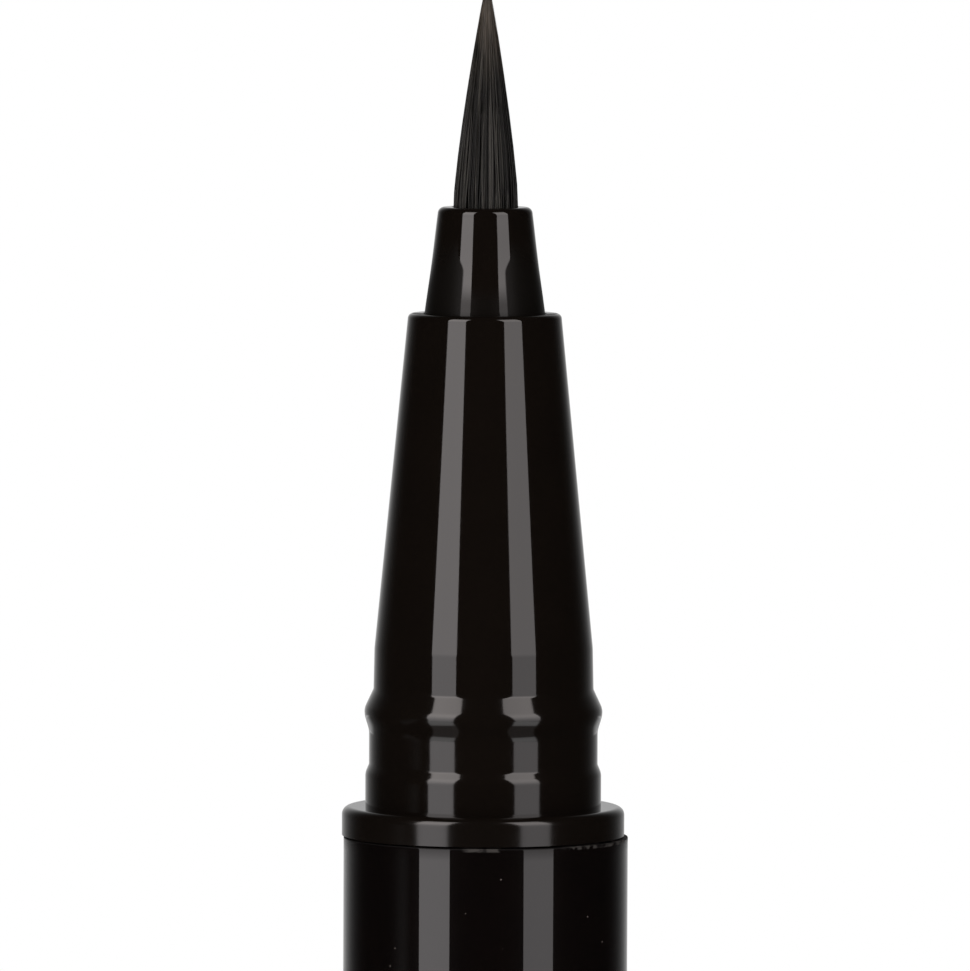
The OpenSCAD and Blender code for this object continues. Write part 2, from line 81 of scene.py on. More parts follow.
seam, tail = high("barrel_sleeve"), low("barrel_sleeve")
nose, nozzle_mouth = high("front_shell"), high("brush_holder")
collar_height, rim_gap = 1.07, 0.05
seat, tail_seat = seam + collar_height, tail - collar_height
rim = seam - rim_gap
print("Seam", round(seam, 2), "cone's end", round(nose, 2), "nozzle's mouth", round(nozzle_mouth, 2))

# %% [markdown]
# ## Outlines
# An outline is a list of [radius, height] points, in the order of a pencil going once round the cut face of
# a piece. Corners of moulded plastic are never sharp, so round_edge gives them a radius. s_curve runs from
# one radius to another without a corner. chamfer is a straight slope with a tight foot and a rounder crest:
# the foot makes the bright kink in the photographed light strips. support adds points close to both ends of
# each long run. Without them, smooth shading would bend the reflections all along a flat wall.

# %% Helpers for outlines
def s_curve(r0, r1, h0, h1, steps=24):
    shares = [k / steps for k in range(steps + 1)]
    return [[r0 + (r1 - r0) * (1 - math.cos(math.pi * s)) / 2, h0 + (h1 - h0) * s] for s in shares]


def chamfer(r0, r1, h1, way, slope=25.0, crest=0.6, foot=0.24, steps=10):
    """From the lower wall r0 up to the higher wall r1, which it meets at h1. way is 1 if r1 lies above r0."""
    t = math.radians(slope)
    foot_rise, crest_rise = foot * (1 - math.cos(t)), crest * (1 - math.cos(t))
    run = (r1 - r0 - foot_rise - crest_rise) / math.tan(t)
    length = foot * math.sin(t) + run + crest * math.sin(t)
    h0 = h1 - way * length
    angles = [t * k / steps for k in range(steps + 1)]
    lower = [[r0 + foot * (1 - math.cos(a)), h0 + way * foot * math.sin(a)] for a in angles]
    upper = [[r1 - crest * (1 - math.cos(a)), h1 - way * crest * math.sin(a)] for a in angles[::-1]]
    return lower + upper


def round_edge(r, h, radius, way=1, steps=10):
    """From the wall to the end face. way is 1 for a top edge and -1 for a bottom one."""
    angles = [math.pi / 2 * k / steps for k in range(steps + 1)]
    return [[r - radius * (1 - math.cos(a)), h - way * radius * (1 - math.sin(a))] for a in angles]


def support(outline, reach=0.06):
    points = []
    for a, b in zip(outline, outline[1:] + outline[:1]):
        points.append(a)
        length = math.dist(a, b)
        if length > 4 * reach:
            for share in (reach / length, 1 - reach / length):
                points.append([a[0] + (b[0] - a[0]) * share, a[1] + (b[1] - a[1]) * share])
    return points


print("A chamfer has", len(chamfer(1, 1.2, 0, 1)), "points")

# %% [markdown]
# ## Turning
# A plane is added at the origin and merged to a single point. In edit mode that point moves to the start of
# the outline and is extruded from one point to the next, as a pencil would draw it, so the object itself
# stays at the origin. Spin sweeps the line once round the axis. Its first and last copies lie on each other,
# so doubles are merged, which also closes the poles, and then the normals are recalculated.

# %% Turn an outline round the pen's axis
smooth_below, merge_within = math.radians(32), 0.002 * MM


def turn(name, outline, steps=160):
    """Spin an outline into a piece. One that starts and ends on the axis is not closed along it."""
    points = support(outline)
    bpy.ops.object.select_all(action="DESELECT")
    bpy.ops.mesh.primitive_plane_add(size=MM)
    piece = bpy.context.object
    piece.name = name
    bpy.ops.object.mode_set(mode="EDIT")
    bpy.ops.mesh.merge(type="CENTER")
    bpy.ops.transform.translate(value=(points[0][0] * MM, 0, points[0][1] * MM))
    on_axis = points[0][0] == 0 and points[-1][0] == 0
    for a, b in zip(points, points[1:] + ([] if on_axis else points[:1])):
        step = ((b[0] - a[0]) * MM, 0, (b[1] - a[1]) * MM)
        bpy.ops.mesh.extrude_vertices_move(TRANSFORM_OT_translate={"value": step})
    bpy.ops.mesh.select_all(action="SELECT")
    bpy.ops.mesh.spin(steps=steps, angle=2 * math.pi, center=(0, 0, 0), axis=(0, 0, 1))
    bpy.ops.mesh.select_all(action="SELECT")
    bpy.ops.mesh.remove_doubles(threshold=merge_within)
    bpy.ops.mesh.normals_make_consistent(inside=False)
    bpy.ops.object.mode_set(mode="OBJECT")
    bpy.ops.object.shade_smooth_by_angle(angle=smooth_below)
    print(name, "has", len(piece.data.polygons), "faces")
    return piece


def belongs(piece, body, slot, material, *nodes):
    """The piece rides on a body, stands for its construction nodes and gets its finish."""
    piece.data.materials.clear()
    piece.data.materials.append(material)
    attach(piece, body)
    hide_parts(*nodes)


print("Edges of under", round(math.degrees(smooth_below)), "degrees are shaded smooth")

# %% [markdown]
# ## Colours and nodes
# Colours are written as sRGB hex values, as a paint program shows them, and Blender's nodes want linear
# ones. add puts a node into a material, with its settings and its links. Where an input is given a node, it
# is linked to that node's first output in use.

# %% Helpers for materials
def linear(code):
    parts = [int(code[k:k + 2], 16) / 255 for k in (1, 3, 5)]
    return [p / 12.92 if p <= 0.04045 else ((p + 0.055) / 1.055) ** 2.4 for p in parts] + [1]


def add(tree, kind, inputs=None, **settings):
    node = tree.nodes.new(kind)
    for key, value in settings.items():
        setattr(node, key, value)
    for key, value in (inputs or {}).items():
        if isinstance(value, bpy.types.Node):
            value = next(output for output in value.outputs if output.enabled)
        if isinstance(value, bpy.types.NodeSocket):
            tree.links.new(value, node.inputs[key])
        else:
            node.inputs[key].default_value = value
    return node


def begin(name):
    material = bpy.data.materials.new(name)
    material.use_nodes = True
    material.node_tree.nodes.clear()
    place = add(material.node_tree, "ShaderNodeTexCoord").outputs["Object"]
    return material, material.node_tree, place


def per_mm(size):
    """The noise scale that gives features of this size in millimetres."""
    return 1 / (size * MM)


print("Mid grey is", [round(v, 3) for v in linear("#808080")])

# %% [markdown]
# ## Polished black ABS
# The nozzle, the front shell and the tail plug are moulded in black ABS against a polished steel mould. The
# plastic is a very dark, slightly warm black. Its polish is nearly a mirror, but not quite even: the skin
# sinks by microns where the wall is thick, over a few millimetres, and fine haze makes the roughness vary.
# The front collar and cap seat, where the cap rubs, are finely scuffed, so the light strips are softer there.

# %% Polished black ABS
scuff_middle, scuff_half = seam + 2.75, 2.76

abs_black, tree, place = begin("Black ABS, polished mould")
cloud = add(tree, "ShaderNodeTexNoise", {"Vector": place, "Scale": per_mm(2.2), "Detail": 3})
haze = add(tree, "ShaderNodeTexNoise", {"Vector": place, "Scale": per_mm(0.35), "Detail": 4})
tone = add(tree, "ShaderNodeMix", {
    "Factor": cloud, "A": linear("#0d0a08"), "B": linear("#110d0a")}, data_type="RGBA")
rough = add(tree, "ShaderNodeMapRange", {
    "Value": haze, "From Min": 0.3, "From Max": 0.7, "To Min": 0.035, "To Max": 0.06})
spot = add(tree, "ShaderNodeSeparateXYZ", {"Vector": place})
height = spot.outputs["Z"]
up_shell = add(tree, "ShaderNodeMath", {0: height, 1: scuff_middle * MM}, operation="SUBTRACT")
scuff_and_glint_zone = add(tree, "ShaderNodeMath", {0: up_shell, 1: 0, 2: scuff_half * MM}, operation="COMPARE")
scuff = add(tree, "ShaderNodeMapRange", {
    "Value": height, "From Min": (seam + 0.95) * MM, "From Max": (seam + 1.15) * MM,
    "To Min": 0.09, "To Max": 0.035})
dulled = add(tree, "ShaderNodeMath", {0: scuff_and_glint_zone, 1: scuff, 2: rough}, operation="MULTIPLY_ADD")
sink = add(tree, "ShaderNodeBump", {"Height": cloud, "Strength": 0.02, "Distance": 0.01 * MM})
plastic = add(tree, "ShaderNodeBsdfPrincipled", {
    "Base Color": tone, "Roughness": dulled, "IOR": 1.5, "Normal": sink})
print("Made", abs_black.name)

# %% [markdown]
# On the front of the nozzle's lower half lies a thin film of dried ink: a second shader, which reflects
# less. It was wiped off in the middle, in a strip that widens upwards, but at the very foot some is left
# there too. Its upper border is uneven and fades out lower down towards the nozzle's sides.

# %% The film of dried ink
film = add(tree, "ShaderNodeBsdfPrincipled", {
    "Base Color": linear("#0f0d0b"), "Roughness": 0.38, "IOR": 1.16, "Normal": sink})
flat = add(tree, "ShaderNodeCombineXYZ", {"X": spot.outputs["X"], "Y": spot.outputs["Y"]})
outward = add(tree, "ShaderNodeVectorMath", {0: flat}, operation="NORMALIZE")
faces = add(tree, "ShaderNodeSeparateXYZ", {"Vector": outward})
uncentred = add(tree, "ShaderNodeMath", {0: faces.outputs["X"], 1: 0.013})
aside = add(tree, "ShaderNodeMath", {0: uncentred}, operation="ABSOLUTE")
uneven = add(tree, "ShaderNodeMath", {0: cloud, 1: 0.3 * MM, 2: height}, operation="MULTIPLY_ADD")
widens = add(tree, "ShaderNodeMapRange", {
    "Value": uneven, "From Min": (nose + 1.75) * MM, "From Max": (nose + 2.5) * MM, "To Max": 0.13
}, interpolation_type="SMOOTHSTEP")
past_strip = add(tree, "ShaderNodeMath", {0: aside, 1: widens}, operation="SUBTRACT")
unwiped = add(tree, "ShaderNodeMapRange", {
    "Value": past_strip, "From Min": 0.363, "From Max": 0.403}, interpolation_type="SMOOTHSTEP")
thins_from = add(tree, "ShaderNodeMapRange", {
    "Value": aside, "From Min": 0.5, "From Max": 0.85,
    "To Min": (nose + 2.5) * MM, "To Max": (nose + 1.2) * MM})
lower_half = add(tree, "ShaderNodeMapRange", {
    "Value": uneven, "From Min": (nose + 2.9) * MM, "From Max": thins_from})
on_flank = add(tree, "ShaderNodeMath", {0: unwiped, 1: lower_half}, operation="MULTIPLY")
at_foot = add(tree, "ShaderNodeMapRange", {
    "Value": uneven, "From Min": (nose + 1.4) * MM, "From Max": (nose + 0.5) * MM, "To Max": 0.62
}, interpolation_type="SMOOTHSTEP")
thick = add(tree, "ShaderNodeMath", {0: on_flank, 1: at_foot}, operation="MAXIMUM")
above = add(tree, "ShaderNodeMath", {0: height, 1: (nose - 0.005) * MM}, operation="GREATER_THAN")
on_nozzle = add(tree, "ShaderNodeMath", {0: thick, 1: above}, operation="MULTIPLY")
on_front = add(tree, "ShaderNodeMapRange", {
    "Value": faces.outputs["Y"], "From Min": 0.25, "From Max": -0.15}, interpolation_type="SMOOTHSTEP")
cover = add(tree, "ShaderNodeMath", {0: on_nozzle, 1: on_front}, operation="MULTIPLY")
both = add(tree, "ShaderNodeMixShader", {0: cover, 1: plastic, 2: film})
add(tree, "ShaderNodeOutputMaterial", {"Surface": both})
print("The film is laid over", abs_black.name)

# %% [markdown]
# ## Black lacquer
# The barrel and the cap are tubes with a thick clear lacquer over black. The clear coat is smoother than
# moulded plastic, so its reflections are crisper. Specks of dust about 0.05 mm wide lie under it here and
# there: cells of a Voronoi pattern, of which only the very centres are kept. Wet lacquer draws back from a
# cut rim, so the coat thins out over the last half millimetre of the sleeve.

# %% Black lacquer
lacquer, tree, place = begin("Black lacquer, high gloss")
peel = add(tree, "ShaderNodeTexNoise", {"Vector": place, "Scale": per_mm(1.4), "Detail": 2})
cells = add(tree, "ShaderNodeTexVoronoi", {"Vector": place, "Scale": per_mm(0.9)}, feature="F1")
speck = add(tree, "ShaderNodeMath", {0: cells, 1: 0.03}, operation="LESS_THAN")
tone = add(tree, "ShaderNodeMix", {
    "Factor": peel, "A": linear("#070505"), "B": linear("#0b0706")}, data_type="RGBA")
dusty = add(tree, "ShaderNodeMix", {"Factor": speck, "A": tone, "B": linear("#6a6460")}, data_type="RGBA")
spot = add(tree, "ShaderNodeSeparateXYZ", {"Vector": place})
thinned = add(tree, "ShaderNodeMapRange", {
    "Value": spot.outputs["Z"], "From Min": (rim - 0.46) * MM, "From Max": rim * MM,
    "To Min": 1, "To Max": 0.5})
wave = add(tree, "ShaderNodeBump", {"Height": peel, "Strength": 0.02, "Distance": 0.01 * MM})
coated = add(tree, "ShaderNodeBsdfPrincipled", {
    "Base Color": dusty, "Roughness": 0.3, "IOR": 1.1, "Coat Weight": thinned, "Coat Roughness": 0.025,
    "Coat IOR": 1.53, "Coat Normal": wave})
print("Made", lacquer.name)

# %% [markdown]
# The sleeve's very edge is matt. In two places there, at the front and to the right, it is painted paler in
# short dashes: painted highlights where the rim would glint.

# %% The matt rim and its painted highlights
matt_edge = add(tree, "ShaderNodeMapRange", {
    "Value": spot.outputs["Z"], "From Min": (rim - 0.06) * MM, "From Max": (rim - 0.02) * MM})
glint_band = add(tree, "ShaderNodeMapRange", {
    "Value": spot.outputs["Z"], "From Min": (rim - 0.14) * MM, "From Max": (rim - 0.09) * MM})
off_middle = add(tree, "ShaderNodeMath", {0: spot.outputs["X"]}, operation="ABSOLUTE")
in_front = add(tree, "ShaderNodeMapRange", {
    "Value": off_middle, "From Min": 0.8 * MM, "From Max": 0.6 * MM})
to_right = add(tree, "ShaderNodeMapRange", {
    "Value": spot.outputs["X"], "From Min": 2.8 * MM, "From Max": 3.4 * MM})
glint_places = add(tree, "ShaderNodeMath", {0: in_front, 1: to_right}, operation="MAXIMUM")
dashes = add(tree, "ShaderNodeTexNoise", {"Vector": place, "Scale": per_mm(0.3), "Detail": 2})
broken = add(tree, "ShaderNodeMapRange", {"Value": dashes, "From Min": 0.42, "From Max": 0.55})
# Painted highlights: pale dashes on the matt rim, at the front and to the right.
painted_glint_dashes = add(tree, "ShaderNodeMath", {0: glint_places, 1: broken}, operation="MULTIPLY")
scuff_and_glint_zone = add(tree, "ShaderNodeMath", {0: glint_band, 1: painted_glint_dashes}, operation="MULTIPLY")
at_rim = add(tree, "ShaderNodeMath", {0: matt_edge, 1: scuff_and_glint_zone}, operation="MAXIMUM")
edge_tone = add(tree, "ShaderNodeMix", {
    "Factor": painted_glint_dashes, "A": linear("#0e0c0c"), "B": linear("#3a3836")}, data_type="RGBA")
cut_edge = add(tree, "ShaderNodeBsdfPrincipled", {"Base Color": edge_tone, "Roughness": 0.6, "IOR": 1.2})
both = add(tree, "ShaderNodeMixShader", {0: at_rim, 1: coated, 2: cut_edge})
add(tree, "ShaderNodeOutputMaterial", {"Surface": both})
# The rim is matt, with painted highlights in pale dashes.
print("The rim of", lacquer.name, "is worn")

# %% [markdown]
# ## Brush fibre
# The filaments are PBT, tapered by dipping, and wet with ink down to the root. Each has its own tone, which
# the mesh carries in an attribute called tone: most are dark, and a few are light. Along a filament the ink
# lies unevenly, so a pattern that is stretched seven times along the pen's axis changes colour and
# roughness. Towards the tip the filaments are drier, and lighter and warmer. Damp filaments cling together
# in clumps about 0.4 mm wide, of which some are drier than others. The patterns are moved 2.6 mm sideways,
# which brings a drier clump to the front of the tip, as in the photograph.

# %% Brush fibre
fibre, tree, place = begin("PBT filaments, inked")
own = add(tree, "ShaderNodeAttribute", attribute_name="tone")
along = add(tree, "ShaderNodeMapping", {
    "Vector": place, "Location": (2.6 * MM, 0, 0), "Scale": (1, 1, 0.14)})
streak = add(tree, "ShaderNodeTexNoise", {"Vector": along, "Scale": per_mm(0.12), "Detail": 3})
blend = add(tree, "ShaderNodeMath", {0: own.outputs["Fac"], 1: streak}, operation="MULTIPLY")
tone = add(tree, "ShaderNodeMix", {
    "Factor": blend, "A": linear("#0c0c0a"), "B": linear("#5c5a54")}, data_type="RGBA")
height = add(tree, "ShaderNodeSeparateXYZ", {"Vector": place}).outputs["Z"]
dry = add(tree, "ShaderNodeMapRange", {
    "Value": height, "From Min": (nozzle_mouth + 4.2) * MM, "From Max": (nozzle_mouth + 7.6) * MM})
clump = add(tree, "ShaderNodeTexNoise", {"Vector": along, "Scale": per_mm(0.4), "Detail": 1})
drier = add(tree, "ShaderNodeMapRange", {"Value": clump, "From Min": 0.36, "From Max": 0.58})
strands = add(tree, "ShaderNodeMath", {0: streak, 1: drier}, operation="MULTIPLY")
patchy = add(tree, "ShaderNodeMath", {0: dry, 1: strands}, operation="MULTIPLY")
tip_tone = add(tree, "ShaderNodeMix", {
    "Factor": patchy, "A": tone, "B": linear("#6e655b")}, data_type="RGBA")
rough = add(tree, "ShaderNodeMapRange", {"Value": streak, "To Min": 0.3, "To Max": 0.5})
shader = add(tree, "ShaderNodeBsdfPrincipled", {
    "Base Color": tip_tone, "Roughness": rough, "IOR": 1.45, "Specular IOR Level": 0.3})
add(tree, "ShaderNodeOutputMaterial", {"Surface": shader})
print("Made", fibre.name)

# %% [markdown]
# ## What is inside the pen and the cap
# These are plain technical materials: natural polypropylene, which is milky, the liner's black
# polypropylene, nitrile rubber, polished ball steel, drawn spring wire, a moulded comb and bonded fibre.
# Each has the grain that its making leaves, at its own size in millimetres.

# %% Materials of the inner pieces
def inner(name, dark, light, size, rough_low, rough_high, metallic=0.0, stretch=(1, 1, 1), depth=0.005):
    material, tree, place = begin(name)
    placed = add(tree, "ShaderNodeMapping", {"Vector": place, "Scale": stretch})
    grain = add(tree, "ShaderNodeTexNoise", {"Vector": placed, "Scale": per_mm(size), "Detail": 4})
    tone = add(tree, "ShaderNodeMix", {
        "Factor": grain, "A": linear(dark), "B": linear(light)}, data_type="RGBA")
    rough = add(tree, "ShaderNodeMapRange", {"Value": grain, "To Min": rough_low, "To Max": rough_high})
    bump = add(tree, "ShaderNodeBump", {"Height": grain, "Strength": 0.15, "Distance": depth * MM})
    shader = add(tree, "ShaderNodeBsdfPrincipled", {
        "Base Color": tone, "Roughness": rough, "Metallic": metallic, "Normal": bump})
    add(tree, "ShaderNodeOutputMaterial", {"Surface": shader})
    return material


natural_pp = inner("Natural polypropylene", "#dcd8cf", "#ebe8e1", 1.5, 0.3, 0.42)
liner_pp = inner("Black polypropylene", "#1a1817", "#24211f", 0.6, 0.22, 0.36)
rubber = inner("Nitrile rubber", "#262524", "#33312f", 0.15, 0.62, 0.8, depth=0.01)
ball_steel = inner("Polished bearing steel", "#c9c8c6", "#d8d7d4", 0.5, 0.06, 0.12, metallic=1.0, depth=0.001)
wire_steel = inner("Drawn spring wire", "#a9a8a6", "#c2c1be", 0.08, 0.22, 0.38, metallic=1.0)
comb_abs = inner("Moulded comb", "#3f3c39", "#4b4743", 0.3, 0.4, 0.55)
bonded = inner("Bonded polyester fibre", "#322e2b", "#4d4742", 0.06, 0.75, 0.95,
               stretch=(1, 1, 0.05), depth=0.02)
print("Made seven inner materials")

# %% [markdown]
# ## The cap seat
# Both ends of the pen have the same seat: a plain land for the cap's guide bore, a shallow groove, and a low
# bead that the cap clicks over. The steps are only 0.1 to 0.3 mm, yet they bend the reflections strongly, so
# their curves are drawn finely. Their radii are the construction model's. Their places along the axis differ
# from it by up to 0.1 mm, to put the reflections where the photograph has them.

# %% The cap seat's outline
land_r, groove_r, bead_r, neck_r = 4.355, 4.22, 4.39, 4.06
land_end, groove_end, bead_top = 1.12, 2.68, 3.5
cone_foot = seat + 5.85


def cap_seat(h, way):
    """From the collar outwards: land, ramp, groove, the bead's soft underside and its chamfer."""
    def at(length):
        return h + way * length

    return ([[land_r, h]] + chamfer(groove_r, land_r, at(land_end), -way, slope=23.0)[::-1]
            + s_curve(groove_r, bead_r, at(groove_end), at(bead_top))
            + chamfer(neck_r, bead_r, at(bead_top), -way)[::-1])


print("The seat's outline has", len(cap_seat(seat, 1)), "points")

# %% [markdown]
# ## The front shell
# One moulding carries the collar, the cap seat and the cone, and its spigot plugs the tank. The collar's
# underside slopes in to the sleeve's rim, so it faces down, away from the lamps, and stays dark.

# %% The front shell
collar_r, tank_r, bay_r, holder_bay_r, guide_r = 5.215, 4.1, 3.155, 2.605, 2.275
cone_foot_r, cone_end_r, cone_edge, collar_edge = 4.03, 2.84, 0.2, 0.3
underside_drop, underside_reach, spigot_foot_r = 0.015, 0.11, 4.92
spigot_end, holder_end = low("front_shell"), low("brush_holder")
shoulder = nose - 3.2
behind_holder = holder_end + 0.05


def ring_groove(end, way):
    """The last part of a spigot's wall, from the O-ring's groove to the spigot's end."""
    far, near, bottom_r = end + way * 1.95, end + way * 1.05, tank_r - 0.5
    return [[tank_r, far], [bottom_r, far], [bottom_r, near], [tank_r, near], [tank_r, end]]


front = turn("front_shell_moulding", (
    [[bay_r, spigot_end], [bay_r, behind_holder], [holder_bay_r, behind_holder],
     [holder_bay_r, shoulder], [guide_r, shoulder], [guide_r, nose]]
    + round_edge(cone_end_r, nose, cone_edge)[::-1]
    + [[cone_foot_r, cone_foot]]
    + cap_seat(seat, 1)[::-1]
    + round_edge(collar_r, seat, collar_edge)[::-1]
    + [[collar_r, seam + underside_drop], [collar_r - underside_reach, rim],
       [spigot_foot_r, rim], [spigot_foot_r, seam], [tank_r, seam]]
    + ring_groove(spigot_end, 1)
), steps=192)
belongs(front, "pen", "front_plastic", abs_black, "front_shell")

# %% [markdown]
# ## The nozzle
# The holder's nozzle stands 3.9 mm out of the cone and holds the brush. Its side isn't quite straight: it
# draws in slightly below the middle, where the plastic shrank as it cooled.

# %% The nozzle and the holder behind it
foot_r, mouth_r, mouth_edge, brush_bore_r = 2.225, 1.75, 0.25, 1.235
flange_r, stem_r, stem_bore_r = 2.555, 2.2, 1.6
flange_back, root = shoulder - 0.8, nose - 2.3


def nozzle_side(steps=24, waist=0.018):
    """From the foot on the cone up to the mouth's radius, with a slight waist."""
    side = []
    for k in range(steps + 1):
        s = k / steps
        r = foot_r + (mouth_r - foot_r) * s - waist * math.sin(math.pi * s) ** 2
        side.append([r, nose + (nozzle_mouth - mouth_edge - nose) * s])
    return side


holder = turn("brush_nozzle", (
    [[brush_bore_r, root], [brush_bore_r, nozzle_mouth]]
    + round_edge(mouth_r, nozzle_mouth, mouth_edge)[::-1]
    + nozzle_side()[::-1][1:]
    + [[foot_r, shoulder], [flange_r, shoulder], [flange_r, flange_back], [stem_r, flange_back],
       [stem_r, holder_end], [stem_bore_r, holder_end], [stem_bore_r, root]]
))
belongs(holder, "pen", "front_plastic", abs_black, "brush_holder")

# %% [markdown]
# ## The barrel sleeve
# The lacquered sleeve slips over the tank and ends under both collars. It was cut to length, and its rims
# have only the radius that the lacquer gives them. It has a little play round the tank and sits a tenth of a
# millimetre to one side at the top, where its rim shows beyond the collar.

# %% The barrel sleeve
sleeve_r, sleeve_bore_r, sleeve_edge, offset = 5.25, 4.9, 0.02, 0.1
sleeve = turn("barrel_tube", (
    [[sleeve_bore_r, tail]]
    + round_edge(sleeve_r, tail, sleeve_edge, -1, steps=4)[::-1]
    + round_edge(sleeve_r, rim, sleeve_edge, steps=4)
    + [[sleeve_bore_r, rim]]
), steps=192)
for point in sleeve.data.vertices:
    share = (point.co.z / MM - tail) / (seam - tail)
    point.co.x += offset * MM * share
belongs(sleeve, "pen", "barrel_lacquer", lacquer, "barrel_sleeve")
print("It leans", offset, "mm to the right at the top")

# %% [markdown]
# ## The tail plug
# The plug closes the tank with the same collar and seat as the front. With the cap posted, only the edge of
# its collar shows, and with the cap pulled, all of it.

# %% The tail plug
plug_end, plug_top = low("tail_plug"), high("tail_plug")
plug_bore_r, plug_floor = 3.1, plug_end + 1.2
nose_rounding, back_edge = 0.5, 0.05
plug = turn("tail_plug_moulding", (
    [[0, plug_end]]
    + round_edge(neck_r, plug_end, nose_rounding, -1)[::-1]
    + cap_seat(tail_seat, -1)[::-1]
    + round_edge(collar_r, tail_seat, collar_edge, -1)[::-1]
    + round_edge(collar_r, tail, back_edge, steps=5)
    + [[tank_r, tail]] + ring_groove(plug_top, -1)
    + [[plug_bore_r, plug_top], [plug_bore_r, plug_floor], [0, plug_floor]]
))
belongs(plug, "pen", "front_plastic", abs_black, "tail_plug")

# %% [markdown]
# ## The cap
# The cap is a lacquered tube with a rounded closed end and a rounded rim, and a liner is pressed into it.
# The liner has the guide bore and the snap rib at its mouth. Behind them lie the room for the pen's end, the
# bay of the spring and a closed pocket.

# %% The cap's shell
cap_mouth = high("cap_shell")
shell_bore_r, end_wall, mouth_rounding, end_rounding = 4.9, 0.5, 0.2, 0.6
shell = turn("cap_tube", (
    [[0, end_wall], [shell_bore_r, end_wall], [shell_bore_r, cap_mouth]]
    + round_edge(sleeve_r, cap_mouth, mouth_rounding)[::-1]
    + round_edge(sleeve_r, 0, end_rounding, -1, steps=14)
    + [[0, 0]]
), steps=192)
belongs(shell, "cap", "barrel_lacquer", lacquer, "cap_shell")

# %% The cap's liner
guide, relief, narrow, pocket_r, recess_r = 4.41, 4.5, 4.2, 3.25, 3.7
lead_in, liner_wall, recess_depth = 0.15, 0.8, 1.2
seat_length, plug_nose, mouth_room = 4.52, 2, 1.5
guide_end, relief_start, rib = cap_mouth - 1.18, cap_mouth - 1.44, cap_mouth - 1.9
rib_slope, rib_length, rib_end = 0.2, 0.7, 0.9
bay_mouth = cap_mouth - seat_length - plug_nose - mouth_room
bay_floor = low("seal_spring") - 0.02
pocket_floor = low("cap_liner") + recess_depth + liner_wall
liner = turn("cap_liner_moulding", [
    [recess_r, end_wall], [shell_bore_r, end_wall], [shell_bore_r, cap_mouth],
    [guide + lead_in, cap_mouth], [guide, cap_mouth - lead_in], [guide, guide_end],
    [relief, relief_start], [relief, rib + rib_slope], [guide, rib], [guide, rib - rib_length],
    [relief, rib - rib_end], [relief, bay_mouth], [narrow, bay_mouth], [narrow, bay_floor],
    [pocket_r, bay_floor], [pocket_r, pocket_floor], [0, pocket_floor],
    [0, pocket_floor - liner_wall], [recess_r, pocket_floor - liner_wall]
], steps=144)
belongs(liner, "cap", "liner_plastic", liner_pp, "cap_liner")

# %% [markdown]
# ## The seal cup and its ring
# A sprung cup closes over the nozzle inside the cap, with a soft gasket in its mouth, so that the ink can't
# dry. A ring keeps it in the liner. They show only when the cap is looked into, but they move with it.

# %% The stop ring, the seal cup and its gasket
ring_low, ring_high, ring_hole_r = low("stop_ring"), high("stop_ring"), 3.288
ring = turn("stop_ring_moulding", [
    [ring_hole_r, ring_low], [narrow, ring_low], [narrow, ring_high], [ring_hole_r + lead_in, ring_high],
    [ring_hole_r, ring_high - lead_in]
], steps=128)
belongs(ring, "cap", "natural_plastic", natural_pp, "stop_ring")

cup_mouth, cup_end = high("seal_cup"), low("seal_cup")
cup_bore, lip, gasket_r, cup_r, cup_flange = 1.9495, 2.0995, 2.4995, 2.9495, 4.1
flange_back_of_cup, cup_floor, gasket_end = cup_mouth - 1, cup_end + 0.8, cup_mouth - 1.6
flange_edge, cup_rounding = 0.1, 0.4
cup = turn("seal_cup_moulding", [
    [gasket_r, cup_mouth], [cup_flange - flange_edge, cup_mouth], [cup_flange, cup_mouth - flange_edge],
    [cup_flange, flange_back_of_cup], [cup_r, flange_back_of_cup]
] + round_edge(cup_r, cup_end, cup_rounding, -1, steps=6) + [
    [0, cup_end], [0, cup_floor], [cup_bore, cup_floor], [cup_bore, gasket_end], [gasket_r, gasket_end]
], steps=128)
belongs(cup, "seal_cup", "natural_plastic", natural_pp, "seal_cup")

lip_slope_start, lip_slope_middle = cup_mouth - 0.3, cup_mouth - 0.12
gasket = turn("seal_lip", [
    [lip, cup_mouth], [gasket_r, cup_mouth], [gasket_r, gasket_end], [cup_bore, gasket_end],
    [cup_bore, lip_slope_start], [cup_bore + 0.04, lip_slope_middle]
], steps=128)
belongs(gasket, "seal_cup", "seal_rubber", rubber, "cup_gasket")

# %% [markdown]
# ## The spring
# A circle the size of the wire is swept by a Screw modifier. Its end turns lie closer together, as on real
# compression springs, so the coil is made in three runs: the modifier takes the wire once round at the end
# pitch, five times at the open pitch, and once more at the end pitch. Each run starts where the last one
# ended, with whole turns, so the ends meet and are merged. The two open ends are then capped.

# %% The spring's three runs
wire_r, spring_r, turns, end_pitch = 0.2, 3.6495, 7, 0.85
spring_low, spring_high = low("seal_spring"), high("seal_spring")
open_pitch = (spring_high - spring_low - 2 * wire_r - 2 * end_pitch) / (turns - 2)
start = spring_low + wire_r
runs = []
for pitch, count in ((end_pitch, 1), (open_pitch, turns - 2), (end_pitch, 1)):
    bpy.ops.object.select_all(action="DESELECT")
    bpy.ops.mesh.primitive_circle_add(vertices=10, radius=wire_r * MM)
    run = bpy.context.object
    for point in run.data.vertices:
        point.co = (spring_r * MM + point.co.x, 0, start * MM + point.co.y)
    coil = run.modifiers.new("coil", "SCREW")
    coil.axis, coil.angle, coil.iterations, coil.screw_offset = "Z", 2 * math.pi, count, pitch * MM
    coil.steps = coil.render_steps = 40
    bpy.ops.object.modifier_apply(modifier="coil")
    runs.append(run)
    start += pitch * count
print("The open turns are", round(open_pitch, 2), "mm apart")

